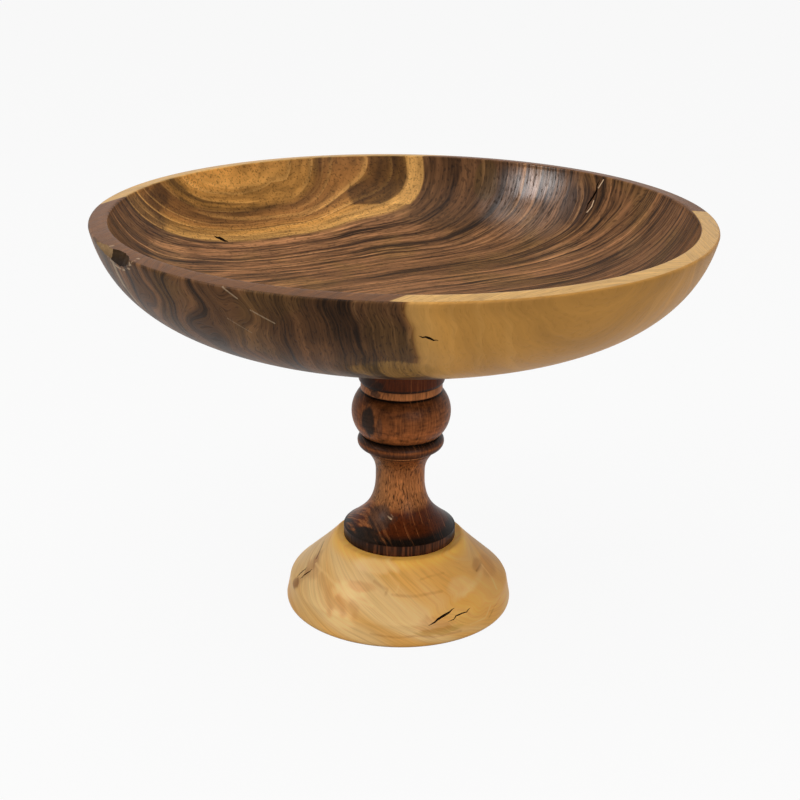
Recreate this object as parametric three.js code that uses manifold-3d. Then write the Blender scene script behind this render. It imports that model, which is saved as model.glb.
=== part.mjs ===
// Footed fruit bowl: a shallow bowl, a spindle stem and a hollowed foot, each turned from one
// block of walnut, with a steel screw driven up through the foot. Millimetres, +Z up.
// The origin is the centre of the ring that the foot stands on.

import * as THREE from 'three';
import { mergeVertices } from 'three/addons/utils/BufferGeometryUtils.js';
import Module from 'manifold-3d';

// Bowl: outside
const rimRadius = 150;
const bowlHeight = 57.8;
const padRadius = 40; // flat of the underside, where the stem is glued
const undersideReach = 51.5; // how far the underside runs on level before it turns up
const wallDrop = 46.3; // how far the wall keeps the rim's steepness
const wallLean = 10.1;

// Bowl: inside
const rimWidth = 9;
const rimEase = 1.2;
const rimFall = 0.7; // how far the top of the rim slopes down towards the outside
const floorThickness = 11.8;
const floorRadius = 34; // flat middle of the floor
const floorReach = 56;
const innerDrop = 39.6;
const innerLean = 13;

// Wane: the hollow at the rim where the bark edge of the plank was not turned away
const waneAngle = 214.3; // degrees round from +X
const waneLength = 25;
const waneDepth = 3.9;
const waneHeight = 6.2;
const waneOutset = 1; // how far outside the rim the hollow is centred
const wanePitch = 8; // degrees that its right end hangs lower

// Foot
const footHeight = 35.3;
const footRadius = 58.6;
const footBaseEase = 1.2;
const footWallHeight = 10.5;
const footWallTaper = 1.6;
const footShoulder = 4.6; // height that the rounded shoulder takes
const footShoulderInset = 3;
const footShoulderCorner = 2.1; // height above the wall of the corner that the shoulder rounds
const footFlankPull = 5.6;
const footFlankHollow = 0.35;
const footTopRadius = 33;
const footTopEase = 1.2;
const footRecessRadius = 44;
const footRecessDepth = 6;
const footRecessEase = 2.5;

// Stem, member by member from the foot up
const discRadius = 28.9;
const discHeight = 5.7;
const discEase = 0.5;
const stepDepth = 0.7; // cut that sets the flare off from the disc, and the cup from the flange
const stepHeight = 0.35;
const flareHeight = 26.8;
const flareReach = 7.9;
const flareRise = 6.4;
const flareNeckPull = 15.9;
const neckRadius = 12.6;
const neckHeight = 3;
const coveHeight = 13.1;
const coveTopRadius = 17.3;
const covePull = 7.5;
const coveTopPull = 1.7;
const filletHeight = 1.1; // plain fillet between the cove and the bead
const filletStep = 0.5;
const beadHeight = 7.4;
const beadEndRadius = 18.3;
const beadRadius = 22.1;
const grooveRadius = 19.8;
const grooveHeight = 0.5;
const ballHeight = 23.6;
const ballEndRadius = 20.3;
const ballRadius = 25.2;
const bandRadius = 20.7;
const bandHeight = 4.4;
const bandEase = 0.3;
const collarRadius = 21.8;
const collarHeight = 5;
const collarEase = 1;
const cupHeight = 18;
const cupPull = 9;
const cupTopPull = 4.5;
const flangeRadius = 29;
const flangeHeight = 4.8;

// Joints: the stem's round tenons, and the screw from below
const glueGap = 0.3;
const topTenonRadius = 12;
const topTenonLength = 7;
const footTenonRadius = 12;
const footTenonLength = 14;
const tenonEase = 0.6;
const screwGap = 0.3;
const screwRadius = 2.25;
const screwLength = 45;
const screwTipLength = 6;
const screwHeadRadius = 4.4;
const screwHeadSink = 0.6; // how far the head lies above the ceiling of the recess
const driveRadius = 2.3;
const driveWidth = 1.1;
const driveDepth = 1.6;
const toolOverrun = 1; // how far a cutting tool starts outside the piece

// Facets round each turned piece, and steps along its curves
const bowlFacets = 88;
const bowlSteps = 11;
const footFacets = 60;
const stemFacets = 44;
const screwFacets = 20;
const flareSteps = 8;
const coveSteps = 6;
const memberSteps = 8;
const shoulderSteps = 3;
const easeSteps = 2;
const waneFacets = 18;
const waneRings = 12;

// Heights that follow from the sizes above
const stemHeight = discHeight + stepHeight + flareHeight + neckHeight + coveHeight + beadHeight
  + grooveHeight + ballHeight + bandHeight + collarHeight + cupHeight + flangeHeight;
const undersideZ = footHeight + stemHeight;
const rimZ = undersideZ + bowlHeight;
const floorZ = undersideZ + floorThickness;
const screwHeadZ = footRecessDepth + screwHeadSink;
const screwTipZ = screwHeadZ + screwLength;

const at = (radius, z) => new THREE.Vector2(radius, z);

// Long curve between two points, steered by a handle at each end
function sweep(from, fromHandle, toHandle, to, steps) {
  return new THREE.CubicBezierCurve(from, fromHandle, toHandle, to).getPoints(steps);
}

// Corner rounded by an ease that starts at one point and ends at another
function eased(from, corner, to, steps = easeSteps) {
  return new THREE.QuadraticBezierCurve(from, corner, to).getPoints(steps);
}

// Round member that swells from an end radius to its full radius half way up
function swelling(bottom, height, endRadius, fullRadius) {
  const half = height / 2;
  const swell = fullRadius - endRadius;
  const arcRadius = (swell ** 2 + half ** 2) / (2 * swell);
  const reach = Math.acos((arcRadius - swell) / arcRadius);
  const centre = fullRadius - arcRadius;
  const arc = new THREE.EllipseCurve(centre, bottom + half, arcRadius, arcRadius, -reach, reach);
  return arc.getPoints(memberSteps);
}

// Closed mesh with shared corners, and without the slivers that a point on the axis leaves
function closed(geometry) {
  geometry.deleteAttribute('normal');
  geometry.deleteAttribute('uv');
  const merged = mergeVertices(geometry);
  const corners = merged.index.array;
  const kept = [];
  for (let i = 0; i < corners.length; i += 3) {
    const [a, b, c] = corners.slice(i, i + 3);
    if (a !== b && b !== c && c !== a) {
      kept.push(a, b, c);
    }
  }
  merged.setIndex(kept);
  return merged;
}

// Solid of revolution about Z from a profile that runs from the axis, up the outside, to the axis
function turned(profile, facets) {
  const geometry = new THREE.LatheGeometry(profile, facets);
  geometry.rotateX(Math.PI / 2);
  return closed(geometry);
}

const wasm = await Module();
wasm.setup();

function toManifold(geometry) {
  return new wasm.Manifold(new wasm.Mesh({
    numProp: 3,
    vertProperties: new Float32Array(geometry.attributes.position.array),
    triVerts: new Uint32Array(geometry.index.array),
  }));
}

// What is left of a piece after a tool has cut into it
function cutAway(geometry, tool) {
  const mesh = toManifold(geometry).subtract(toManifold(closed(tool))).getMesh();
  const result = new THREE.BufferGeometry();
  result.setAttribute('position', new THREE.BufferAttribute(mesh.vertProperties, mesh.numProp));
  result.setIndex(new THREE.BufferAttribute(mesh.triVerts, 1));
  return result;
}

function makeBowl() {
  const socketRadius = topTenonRadius + glueGap;
  const socketZ = undersideZ + topTenonLength + glueGap;
  const innerRadius = rimRadius - rimWidth;
  const edgeZ = rimZ - rimFall;
  const profile = [
    at(0, socketZ),
    at(socketRadius, socketZ),
    at(socketRadius, undersideZ),
    ...sweep(
      at(padRadius, undersideZ),
      at(padRadius + undersideReach, undersideZ),
      at(rimRadius - wallLean, rimZ - wallDrop),
      at(rimRadius, edgeZ - rimEase),
      bowlSteps,
    ),
    ...eased(at(rimRadius, edgeZ - rimEase), at(rimRadius, edgeZ), at(rimRadius - rimEase, edgeZ)).slice(1),
    ...eased(at(innerRadius + rimEase, rimZ), at(innerRadius, rimZ), at(innerRadius, rimZ - rimEase)),
    ...sweep(
      at(innerRadius, rimZ - rimEase),
      at(innerRadius - innerLean, rimZ - innerDrop),
      at(floorRadius + floorReach, floorZ),
      at(floorRadius, floorZ),
      bowlSteps,
    ).slice(1),
    at(0, floorZ),
  ];
  return cutAway(turned(profile, bowlFacets), makeWaneTool());
}

// Long rounded gouge mark, laid along the rim's outer edge
function makeWaneTool() {
  const tool = new THREE.SphereGeometry(1, waneFacets, waneRings);
  tool.scale(waneDepth + waneOutset, waneLength / 2, waneHeight);
  tool.rotateX(THREE.MathUtils.degToRad(wanePitch));
  tool.translate(rimRadius + waneOutset, 0, rimZ);
  tool.rotateZ(THREE.MathUtils.degToRad(waneAngle));
  return tool;
}

function makeFoot() {
  const socketRadius = footTenonRadius + glueGap;
  const socketZ = footHeight - footTenonLength - glueGap;
  const holeRadius = screwRadius + screwGap;
  const sinkRadius = screwHeadRadius + screwGap;
  const wallTopRadius = footRadius - footWallTaper;
  const shoulderZ = footWallHeight + footShoulder;
  const shoulderRadius = wallTopRadius - footShoulderInset;
  const flankTopRadius = footTopRadius + footTopEase;
  const flankTopZ = footHeight - footTopEase;
  const profile = [
    at(holeRadius, socketZ),
    at(holeRadius, screwHeadZ + screwHeadRadius - screwRadius),
    at(sinkRadius, screwHeadZ),
    at(sinkRadius, footRecessDepth),
    ...eased(
      at(footRecessRadius - footRecessEase, footRecessDepth),
      at(footRecessRadius, footRecessDepth),
      at(footRecessRadius, footRecessDepth - footRecessEase),
    ),
    at(footRecessRadius, 0),
    ...eased(at(footRadius - footBaseEase, 0), at(footRadius, 0), at(footRadius, 2 * footBaseEase)),
    ...eased(
      at(wallTopRadius, footWallHeight),
      at(wallTopRadius, footWallHeight + footShoulderCorner),
      at(shoulderRadius, shoulderZ),
      shoulderSteps,
    ),
    ...sweep(
      at(shoulderRadius, shoulderZ),
      at(shoulderRadius - footFlankPull, shoulderZ + footFlankPull - footFlankHollow),
      at(flankTopRadius + footFlankPull - footFlankHollow, flankTopZ - footFlankPull - footFlankHollow),
      at(flankTopRadius, flankTopZ),
      coveSteps,
    ).slice(1),
    ...eased(
      at(flankTopRadius, flankTopZ),
      at(footTopRadius, footHeight),
      at(footTopRadius - footTopEase, footHeight),
    ).slice(1),
    at(socketRadius, footHeight),
    at(socketRadius, socketZ),
    at(holeRadius, socketZ),
  ];
  return turned(profile, footFacets);
}

function makeStem() {
  const tenonEnd = footHeight - footTenonLength;
  const pilotRadius = screwRadius + screwGap;
  const pilotZ = screwTipZ + screwGap;
  const discTop = footHeight + discHeight;
  const flareFoot = discTop + stepHeight;
  const neckZ = flareFoot + flareHeight;
  const coveZ = neckZ + neckHeight;
  const beadZ = coveZ + coveHeight;
  const filletZ = beadZ - filletHeight;
  const grooveZ = beadZ + beadHeight;
  const ballZ = grooveZ + grooveHeight;
  const bandZ = ballZ + ballHeight;
  const collarZ = bandZ + bandHeight;
  const cupZ = collarZ + collarHeight;
  const flangeZ = cupZ + cupHeight;
  const tenonTop = undersideZ + topTenonLength;
  const flareRadius = discRadius - stepDepth;
  const cupRadius = flangeRadius - stepDepth;
  const profile = [
    at(0, pilotZ),
    at(pilotRadius, pilotZ - screwTipLength),
    at(pilotRadius, tenonEnd),
    at(footTenonRadius - tenonEase, tenonEnd),
    at(footTenonRadius, tenonEnd + tenonEase),
    at(footTenonRadius, footHeight),
    at(discRadius - discEase, footHeight),
    at(discRadius, footHeight + discEase),
    at(discRadius, discTop),
    ...sweep(
      at(flareRadius, flareFoot),
      at(flareRadius - flareReach, flareFoot + flareRise),
      at(neckRadius, neckZ - flareNeckPull),
      at(neckRadius, neckZ),
      flareSteps,
    ),
    ...sweep(
      at(neckRadius, coveZ),
      at(neckRadius, coveZ + covePull),
      at(coveTopRadius, filletZ - coveTopPull),
      at(coveTopRadius, filletZ),
      coveSteps,
    ),
    at(coveTopRadius + filletStep, filletZ),
    at(coveTopRadius + filletStep, beadZ),
    ...swelling(beadZ, beadHeight, beadEndRadius, beadRadius),
    at(grooveRadius, ballZ - grooveHeight / 2),
    ...swelling(ballZ, ballHeight, ballEndRadius, ballRadius),
    at(bandRadius, bandZ + bandEase),
    at(bandRadius, collarZ),
    ...eased(
      at(collarRadius - collarEase, collarZ),
      at(collarRadius, collarZ),
      at(collarRadius, collarZ + 2 * collarEase),
    ),
    ...sweep(
      at(collarRadius, cupZ),
      at(collarRadius, cupZ + cupPull),
      at(cupRadius, flangeZ - cupTopPull),
      at(cupRadius, flangeZ),
      coveSteps,
    ),
    at(flangeRadius, flangeZ + stepHeight),
    at(flangeRadius, undersideZ),
    at(topTenonRadius, undersideZ),
    at(topTenonRadius, tenonTop - tenonEase),
    at(topTenonRadius - tenonEase, tenonTop),
    at(0, tenonTop),
  ];
  return turned(profile, stemFacets);
}

// Countersunk wood screw, its head facing down
function makeScrew() {
  const profile = [
    at(0, screwHeadZ),
    at(screwHeadRadius, screwHeadZ),
    at(screwRadius, screwHeadZ + screwHeadRadius - screwRadius),
    at(screwRadius, screwTipZ - screwTipLength),
    at(0, screwTipZ),
  ];
  return cutAway(turned(profile, screwFacets), makeDriveTool());
}

// Cross that the screwdriver fits
function makeDriveTool() {
  const cross = new THREE.Shape();
  const half = driveWidth / 2;
  for (let arm = 0; arm < 4; arm += 1) {
    const turn = arm * Math.PI / 2;
    for (const [along, across] of [[half, -half], [driveRadius, -half], [driveRadius, half]]) {
      const x = along * Math.cos(turn) - across * Math.sin(turn);
      const y = along * Math.sin(turn) + across * Math.cos(turn);
      if (arm === 0 && along === half) {
        cross.moveTo(x, y);
      } else {
        cross.lineTo(x, y);
      }
    }
  }
  cross.closePath();
  const tool = new THREE.ExtrudeGeometry(cross, { depth: driveDepth + toolOverrun, bevelEnabled: false });
  tool.translate(0, 0, screwHeadZ - toolOverrun);
  return tool;
}

function piece(name, geometry, colour, roughness, metalness = 0) {
  const material = new THREE.MeshStandardMaterial({ color: colour, roughness, metalness });
  material.name = name;
  const mesh = new THREE.Mesh(geometry, material);
  mesh.name = name;
  return mesh;
}

const fruitBowl = new THREE.Group();
fruitBowl.name = 'footed_fruit_bowl';
fruitBowl.add(
  piece('bowl', makeBowl(), 0x7a5436, 0.4),
  piece('stem', makeStem(), 0x5c3520, 0.4),
  piece('foot', makeFoot(), 0xc79c58, 0.4),
  piece('foot_screw', makeScrew(), 0x9a9a98, 0.35, 1),
);

export default fruitBowl;
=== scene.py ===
"""Footed fruit bowl: a turned walnut bowl on a spindle stem and a domed foot, on a pale studio floor."""

import math

import bpy
from bpy.props import FloatProperty, FloatVectorProperty, IntProperty, PointerProperty
from mathutils import Matrix, Vector


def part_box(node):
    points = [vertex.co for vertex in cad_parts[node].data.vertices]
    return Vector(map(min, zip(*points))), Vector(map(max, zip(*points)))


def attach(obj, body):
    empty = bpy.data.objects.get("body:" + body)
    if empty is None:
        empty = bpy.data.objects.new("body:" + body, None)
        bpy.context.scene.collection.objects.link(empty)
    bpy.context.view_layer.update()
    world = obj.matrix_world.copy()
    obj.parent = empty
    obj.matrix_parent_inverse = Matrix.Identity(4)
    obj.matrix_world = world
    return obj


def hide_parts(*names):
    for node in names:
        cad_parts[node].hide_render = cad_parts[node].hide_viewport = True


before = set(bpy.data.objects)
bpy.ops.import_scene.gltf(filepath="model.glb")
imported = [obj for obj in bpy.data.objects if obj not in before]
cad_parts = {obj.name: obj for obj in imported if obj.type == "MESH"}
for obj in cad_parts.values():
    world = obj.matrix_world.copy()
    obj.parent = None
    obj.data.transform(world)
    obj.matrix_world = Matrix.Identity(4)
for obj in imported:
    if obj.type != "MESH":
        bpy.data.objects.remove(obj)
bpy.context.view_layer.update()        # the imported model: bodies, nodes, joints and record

bl_info = {
    "name": "Footed fruit bowl",
    "version": (1, 0, 0),
    "blender": (4, 5, 0),
    "location": "3D View > Sidebar > Fruit bowl",
    "description": "Turned walnut bowl on a spindle stem and a domed foot",
    "category": "Object",
}

BODY = "root"
MM = 0.001
BOWL_LOW, BOWL_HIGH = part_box("bowl")
FOOT_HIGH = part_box("foot")[1]
SCREW_LOW, SCREW_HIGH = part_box("foot_screw")
WHITE = (1.0, 1.0, 1.0)

# The bowl in millimetres
RIM_WIDTH = 9
FLOOR_THICKNESS = 11.8
RIM_RADIUS = BOWL_HIGH.x / MM
RIM_HEIGHT = BOWL_HIGH.z / MM
FLOOR_HEIGHT = BOWL_LOW.z / MM + FLOOR_THICKNESS

# Each lamp's name, the way to it from its target, its distance and width in metres, its watts and colour
LAMPS = (
    ("Key", (-0.735, -0.325, 0.6), 1.5, 0.55, 6.4, WHITE),
    ("Window", (-0.63, -0.17, 0.758), 1.5, 0.32, 2.0, (0.92, 0.96, 1.0)),
    ("Overhead", (0.0, -0.12, 1.0), 1.6, 1.6, 15, WHITE),
    ("Front", (0.5, -0.85, 0.36), 1.8, 1.3, 10.5, WHITE),
)
LAMP_TARGET = Vector((0, 0, 0.12))
WORLD_LIGHT = 0.18       # strength of the world's light on the object
FLOOR_WHITE = 0.93       # share of plain white in the floor that the camera sees
SENSOR_WIDTH = 36        # millimetres
SIGHT = 100              # how far the camera sees, in metres


# Properties of a size or a colour

def metres(name, description, default):
    return FloatProperty(name=name, description=description, default=default, unit="LENGTH", precision=5)


def length(name, description, millimetres):
    return metres(name, description, millimetres * MM)


def angle(name, description, degrees):
    return FloatProperty(
        name=name, description=description, default=math.radians(degrees), subtype="ANGLE", unit="ROTATION"
    )


def count(name, description, number):
    return IntProperty(name=name, description=description, default=number, min=3)


def linear(red, green, blue):
    """Scene-linear colour of a screen colour given as 0 to 255."""
    channels = []
    for value in (red, green, blue):
        share = value / 255
        channels.append(share / 12.92 if share <= 0.04045 else ((share + 0.055) / 1.055) ** 2.4)
    return tuple(channels)


def tint(name, description, red, green, blue):
    default = linear(red, green, blue)
    return FloatVectorProperty(
        name=name, description=description, subtype="COLOR", size=3, min=0, max=1, default=default
    )


def scaled(colour, share):
    return tuple(share * part for part in colour)


class BowlSizes(bpy.types.PropertyGroup):
    rim_radius: metres("Rim radius", "Outside radius of the rim", BOWL_HIGH.x)
    rim_width: length("Rim width", "Flat top of the rim", RIM_WIDTH)
    rim_ease: length("Rim ease", "Rounding of the rim's two edges", 1.2)
    rim_fall: length("Rim fall", "How far the top of the rim slopes down towards the outside", 0.7)
    pad_radius: length("Pad radius", "Flat of the underside that the stem is glued to", 40)
    underside_reach: length("Underside reach", "How far the underside runs on level", 51.5)
    wall_drop: length("Wall drop", "How far the outside keeps the rim's steepness", 46.3)
    wall_lean: length("Wall lean", "How far the outside leans in over that drop", 10.1)
    floor_thickness: length("Floor thickness", "Wood under the flat of the floor", FLOOR_THICKNESS)
    floor_radius: length("Floor radius", "Flat middle of the floor", 34)
    floor_reach: length("Floor reach", "How far the floor runs on level", 56)
    inner_drop: length("Inner drop", "How far the inside keeps the rim's steepness", 39.6)
    inner_lean: length("Inner lean", "How far the inside leans in over that drop", 13)
    socket_radius: length("Socket radius", "Hole for the stem's upper tenon", 12.3)
    socket_depth: length("Socket depth", "Depth of that hole", 7.3)
    facet_angle: angle("Bark facet angle", "Where the shallow facet at the bark edge lies, from +X", 211)
    facet_length: length("Bark facet length", "Length of that facet round the rim", 46)
    facet_depth: length("Bark facet depth", "How far it goes into the rim", 2.2)
    facet_height: length("Bark facet height", "How far it goes down the wall", 5)
    bark_angle: angle("Bark hollow angle", "Where the bark edge was left, from +X", 214.3)
    bark_length: length("Bark hollow length", "Length of that hollow round the rim", 25)
    bark_depth: length("Bark hollow depth", "How far it goes into the rim", 3.9)
    bark_height: length("Bark hollow height", "How far it goes down the wall", 6.2)
    around: count("Segments around", "Segments round the bowl", 288)


class StemSizes(bpy.types.PropertyGroup):
    disc_radius: length("Disc radius", "Disc that stands on the foot", 28.9)
    disc_height: length("Disc height", "Height of the disc", 5.7)
    disc_ease: length("Disc ease", "Rounding of the disc's edges", 0.5)
    step_depth: length("Step depth", "Cut that sets the flare off from the disc", 0.7)
    step_height: length("Step height", "Height of that cut", 0.35)
    flare_height: length("Flare height", "Height of the flare", 26.8)
    flare_reach: length("Flare reach", "How far the flare's foot runs in", 7.9)
    flare_rise: length("Flare rise", "How far it rises over that run", 6.4)
    flare_pull: length("Flare pull", "How far the neck runs down into the flare", 15.9)
    neck_radius: length("Neck radius", "Thinnest part of the stem", 12.6)
    neck_height: length("Neck height", "Straight stretch of the neck", 3)
    cove_height: length("Cove height", "Hollow moulding under the bead", 13.1)
    cove_top_radius: length("Cove top radius", "Upper end of the cove", 17.3)
    cove_pull: length("Cove pull", "How far the neck runs up into the cove", 7.5)
    cove_top_pull: length("Cove top pull", "How far the cove's top runs down", 1.7)
    fillet_height: length("Fillet height", "Plain fillet between the cove and the bead", 1.1)
    fillet_step: length("Fillet step", "How far that fillet stands out from the cove", 0.5)
    bead_height: length("Bead height", "Height of the bead", 7.4)
    bead_end_radius: length("Bead end radius", "Radius of the bead's ends", 18.3)
    bead_radius: length("Bead radius", "Full radius of the bead", 22.1)
    groove_radius: length("Groove radius", "Bottom of the groove over the bead", 19.8)
    groove_height: length("Groove height", "Height of that groove", 0.5)
    ball_height: length("Ball height", "Height of the ball", 23.6)
    ball_end_radius: length("Ball end radius", "Radius of the ball's ends", 20.3)
    ball_radius: length("Ball radius", "Full radius of the ball", 25.2)
    band_radius: length("Band radius", "Light band over the ball", 20.7)
    band_height: length("Band height", "Height of that band", 4.4)
    band_step: length("Band step", "Height of the slope from the ball's top to the band", 0.3)
    collar_radius: length("Collar radius", "Dark collar over the band", 21.8)
    collar_height: length("Collar height", "Height of the collar", 5)
    collar_ease: length("Collar ease", "Rounding of the collar's lower edge", 1)
    cup_height: length("Cup height", "Height of the cup", 18)
    cup_pull: length("Cup pull", "How far the collar runs up into the cup", 9)
    cup_top_pull: length("Cup top pull", "How far the cup's lip runs down", 4.5)
    lip_step: length("Lip step", "How far the cup's lip stands out further than the flare", 0.1)
    flange_radius: length("Flange radius", "Flange under the bowl", 29)
    flange_step: length("Flange step", "Height of the slope from the cup's lip to the flange", 0.35)
    flange_height: length("Flange height", "Height of the flange", 4.8)
    tenon_radius: length("Tenon radius", "Round tenon at each end", 12)
    top_tenon: length("Upper tenon", "Length of the upper tenon", 7)
    foot_tenon: length("Lower tenon", "Length of the lower tenon", 14)
    tenon_ease: length("Tenon ease", "Bevel at the end of a tenon", 0.6)
    pilot_radius: length("Pilot radius", "Hole for the screw", 2.55)
    pilot_depth: length("Pilot depth", "Depth of that hole", 24.6)
    pilot_point: length("Pilot point", "Length of its pointed end", 6)
    around: count("Segments around", "Segments round the stem", 176)


class FootSizes(bpy.types.PropertyGroup):
    radius: metres("Radius", "Radius of the foot at the table", FOOT_HIGH.x)
    base_ease: length("Base ease", "Rounding of the lower edge", 1.2)
    wall_height: length("Wall height", "Upright part of the edge", 10.5)
    wall_taper: length("Wall taper", "How far it leans in", 1.6)
    shoulder: length("Shoulder", "Height that the rounded shoulder takes", 4.6)
    shoulder_inset: length("Shoulder inset", "How far the shoulder runs in", 3)
    shoulder_corner: length("Shoulder corner", "Height of the corner that it rounds", 2.1)
    flank_pull: length("Flank pull", "How far each end of the flank runs on", 5.6)
    flank_hollow: length("Flank hollow", "How much the flank is hollowed", 0.35)
    top_radius: length("Top radius", "Flat top that the stem stands on", 33)
    top_ease: length("Top ease", "Rounding of the top's edge", 1.2)
    socket_radius: length("Socket radius", "Hole for the stem's lower tenon", 12.3)
    socket_depth: length("Socket depth", "Depth of that hole", 14.3)
    recess_radius: length("Recess radius", "Hollow under the foot", 44)
    recess_depth: length("Recess depth", "Depth of that hollow", 6)
    recess_ease: length("Recess ease", "Rounding of the hollow's corner", 2.5)
    screw_hole: length("Screw hole", "Radius of the hole for the shank", 2.55)
    screw_sink: length("Screw sink", "Radius of the countersink", 4.7)
    head_depth: length("Head depth", "How far the screw's head lies above the hollow's ceiling", 0.6)
    around: count("Segments around", "Segments round the foot", 224)


class ScrewSizes(bpy.types.PropertyGroup):
    shank_radius: length("Shank radius", "Radius of the shank", 2.25)
    point: length("Point", "Length of the screw's point", 6)
    slot_reach: length("Slot reach", "How far each slot of the head runs from its middle", 2.5)
    slot_width: length("Slot width", "Width of the slots", 1)
    slot_depth: length("Slot depth", "Depth of the slots", 1.5)
    around: count("Segments around", "Segments round the screw", 48)


class WoodColours(bpy.types.PropertyGroup):
    heart: tint("Heartwood", "Mauve brown of the bowl's floor", 128, 88, 56)
    heart_olive: tint("Olive heartwood", "Greener brown streaks of the heartwood", 112, 82, 44)
    heart_deep: tint("Deep heartwood", "Brown of the heartwood outside", 104, 70, 43)
    # The darkest heartwood also paints the shade beside the wall's split
    heart_dark: tint("Darkest heartwood", "Smoky arch and the strongest growth lines", 54, 33, 18)
    # The pale growth line colour also paints the sheen on the left of the stem's neck
    heart_pale: tint("Pale growth line", "Light line beside each dark one", 182, 134, 88)
    sap: tint("Sapwood", "Golden sapwood", 188, 133, 65)
    sap_light: tint("Light sapwood", "Pale gold next to the heartwood", 208, 156, 86)
    sap_outer: tint("Outer sapwood", "Sapwood on the outside of the bowl", 194, 140, 69)
    sap_brown: tint("Brown band", "Brown bands inside the sapwood", 132, 88, 44)
    # The rim's two tints are partly a painted sheen over the paler edge grain
    rim_sap: tint("Rim sapwood", "Cream top of the rim over the sapwood", 206, 164, 103)
    rim_heart: tint("Rim heartwood", "Pinkish top of the rim over the heartwood", 108, 70, 42)
    # The scratch colour also paints the glints, which are painted highlights
    scratch: tint("Scratches", "Pale scratches and the lips of the splits", 190, 162, 130)
    bark: tint("Bark edge", "Olive brown of the bark hollow", 60, 43, 26)
    bark_pale: tint("Pale bark edge", "Olive cream of the facet above the bark hollow", 160, 128, 90)
    stem_red: tint("Red brown", "Walnut of the ball and the flare", 144, 82, 42)
    stem_deep: tint("Deep red brown", "Dark side of the flare and the collar", 90, 40, 15)
    stem_orange: tint("Orange brown", "Light walnut of the neck", 185, 116, 65)
    stem_pink: tint("Pinkish orange", "Light band over the ball and the pale streaks", 204, 126, 72)
    stem_dark: tint("Dark brown", "Bead and disc", 80, 45, 26)
    # Charcoal darkens the knots and the lines at the stem's grooves, and gives the painted shade in hollows
    # and splits
    charcoal: tint("Charcoal", "Knots and burnt grooves", 34, 25, 19)
    foot_gold: tint("Foot sapwood", "Pale gold of the foot", 230, 172, 90)
    foot_yellow: tint("Yellow sapwood", "Yellower wood round the foot's top", 242, 184, 84)
    foot_cream: tint("Cream lines", "Cream growth lines of the foot", 244, 202, 136)
    # The brown lines colour also paints the contact shadow along the foot's lower edge
    foot_brown: tint("Brown lines", "Brown streaks of the foot", 176, 94, 34)
    steel: tint("Steel", "Zinc plated steel of the screw", 168, 170, 172)


class StudioSettings(bpy.types.PropertyGroup):
    camera_back: length("Camera distance", "How far in front of the axis the camera stands", 713)
    camera_side: length("Camera side", "How far right of the axis it stands", -0.7)
    camera_height: length("Camera height", "Height of the camera", 372.1)
    camera_pitch: angle("Camera pitch", "How far it looks down", 20.25)
    camera_roll: angle("Camera roll", "How far it is rolled", 0.9)
    lens: FloatProperty(name="Lens", description="Focal length", default=67.7, unit="CAMERA")
    floor_size: length("Floor size", "Width of the pale floor", 60000)
    floor_pale: tint("Floor", "Pale grey that the floor throws back on the bowl", 188, 188, 186)


# Shader sums written as Python expressions

class Signal:
    """A shader socket. An operator on it adds the Math node that works it out."""

    def __init__(self, finish, socket):
        self.finish = finish
        self.socket = socket

    def maths(self, operation, *values):
        inputs = dict(enumerate((self, *values)))
        return self.finish.node("ShaderNodeMath", {"operation": operation}, inputs)

    def __add__(self, other):
        return self.maths("ADD", other)

    __radd__ = __add__

    def __sub__(self, other):
        return self.maths("SUBTRACT", other)

    def __rsub__(self, other):
        return self.finish.node("ShaderNodeMath", {"operation": "SUBTRACT"}, {0: other, 1: self})

    def __mul__(self, other):
        return self.maths("MULTIPLY", other)

    __rmul__ = __mul__

    def __truediv__(self, other):
        return self.maths("DIVIDE", other)

    def __pow__(self, other):
        return self.maths("POWER", other)

    def __neg__(self):
        return self.maths("MULTIPLY", -1)

    def at_least(self, low):
        """The larger of this and a number or another signal."""
        return self.maths("MAXIMUM", low)

    def at_most(self, high):
        return self.maths("MINIMUM", high)

    def within(self, low, high):
        return self.at_least(low).at_most(high)

    def absolute(self):
        return self.maths("ABSOLUTE")

    def whole(self):
        return self.maths("FLOOR")

    def part(self):
        return self.maths("FRACT")

    def exponential(self):
        return self.maths("EXPONENT")

    def turn_from(self, other):
        return self.maths("ARCTAN2", other)

    def rise(self, low, high):
        """0 below low, 1 above high and a smooth change between them."""
        settings = {"interpolation_type": "SMOOTHSTEP"}
        return self.finish.node("ShaderNodeMapRange", settings, {0: self, 1: low, 2: high, 3: 0, 4: 1})

    def band(self, low, high, soft):
        """1 from low to high, with soft edges outside them."""
        return self.rise(low - soft, low) * (1 - self.rise(high, high + soft))


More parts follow.
